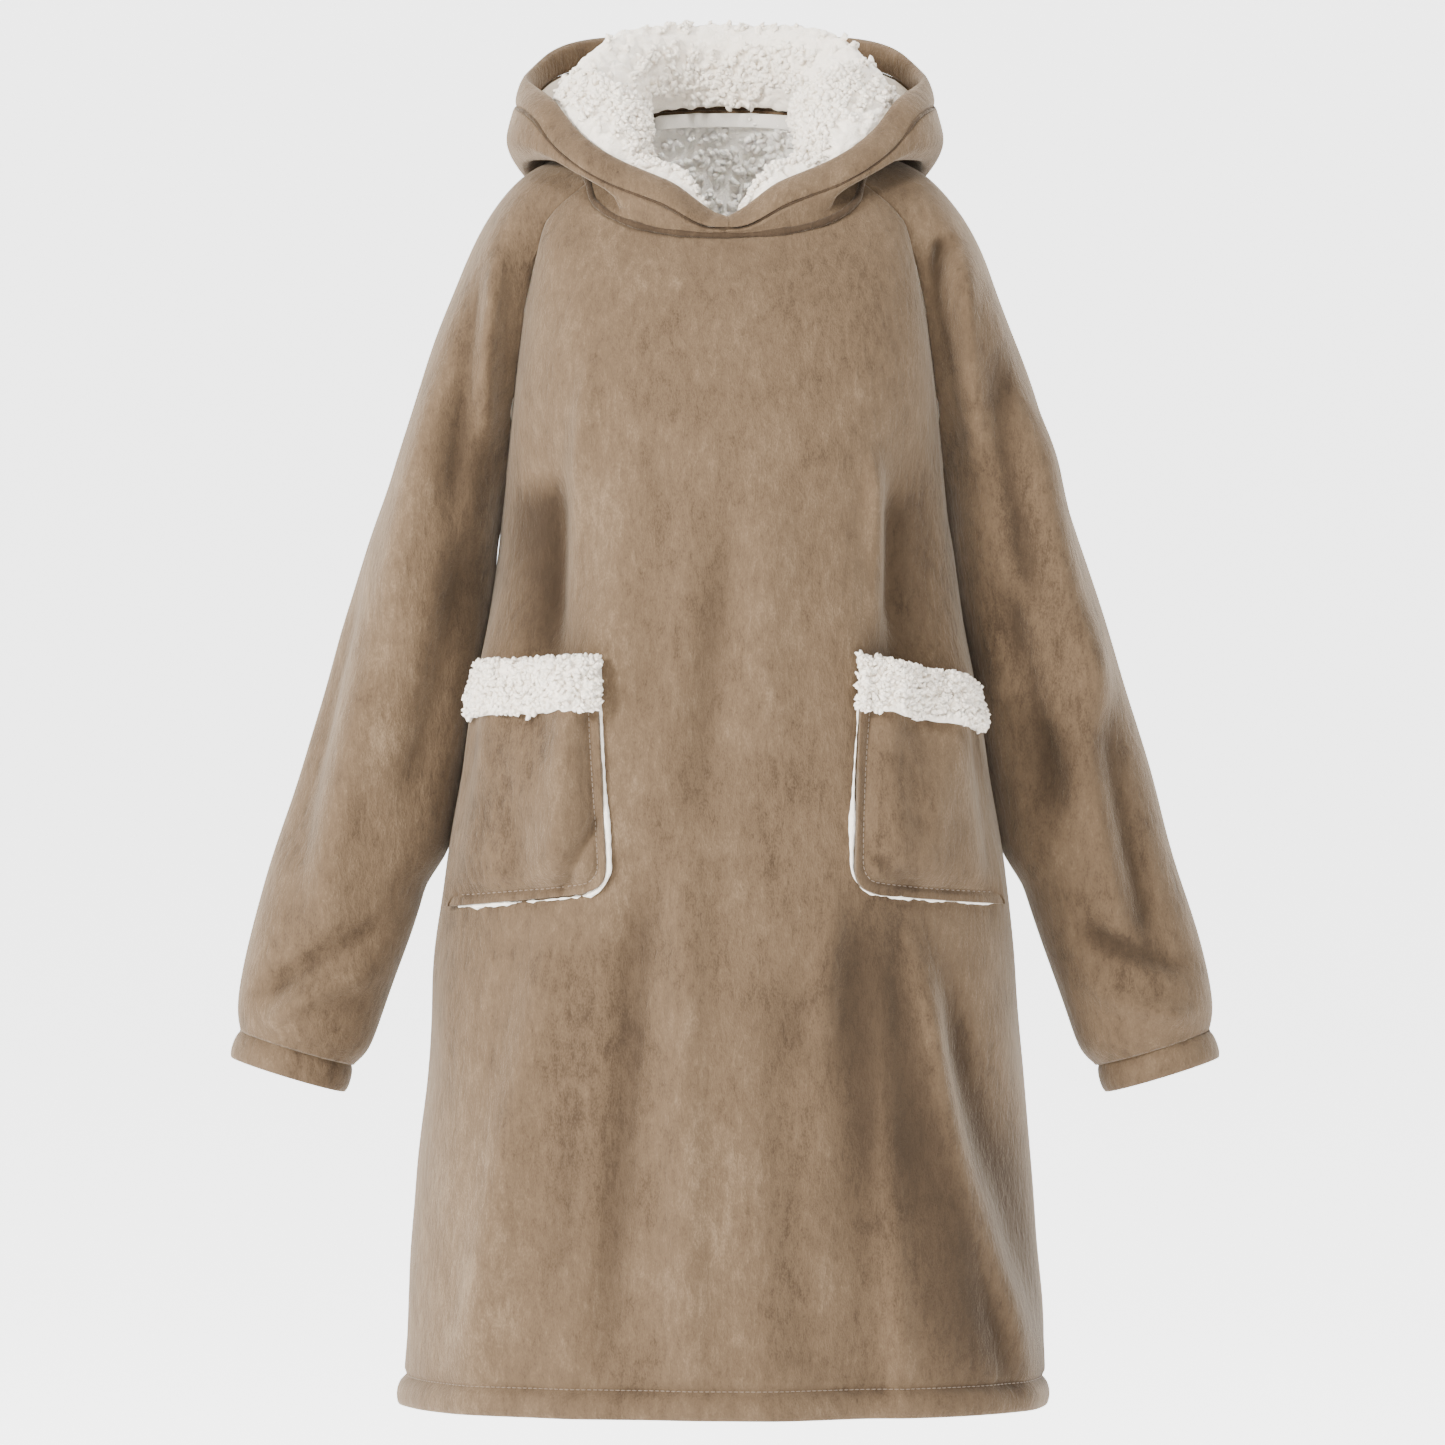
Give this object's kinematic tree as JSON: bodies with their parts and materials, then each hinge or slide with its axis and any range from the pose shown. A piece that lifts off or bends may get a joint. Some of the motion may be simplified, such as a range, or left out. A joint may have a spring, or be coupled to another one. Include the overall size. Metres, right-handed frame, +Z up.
{
  "type": "wearable blanket hoodie",
  "caption": "Roomy pullover blanket hoodie: hooded, raglan sleeves, cuffs, two patch pockets with fleece trim, open at neck, hem and wrists.",
  "frame": {"origin": "middle of the neck opening, at the height where the shoulders carry the garment", "axes": "+Z up, the front faces -Y, the wearer's right side is at -X"},
  "size_m": [0.744, 0.3412, 1.0421],
  "materials": {
    "flannel": "brushed plush",
    "sherpa": "curly fleece",
    "tape": "woven"
  },
  "bodies": {
    "root": {"front_panel": "flannel", "back_panel": "flannel", "sleeve_right": "flannel", "sleeve_left": "flannel", "cuff_right": "flannel", "cuff_left": "flannel", "hood_right": "flannel", "hood_left": "flannel", "hood_band": "flannel", "hood_lining": "sherpa", "pocket_right": "flannel", "pocket_left": "flannel", "pocket_trim_right": "sherpa", "pocket_trim_left": "sherpa", "back_neck_tape": "tape"}
  },
  "joints": []
}
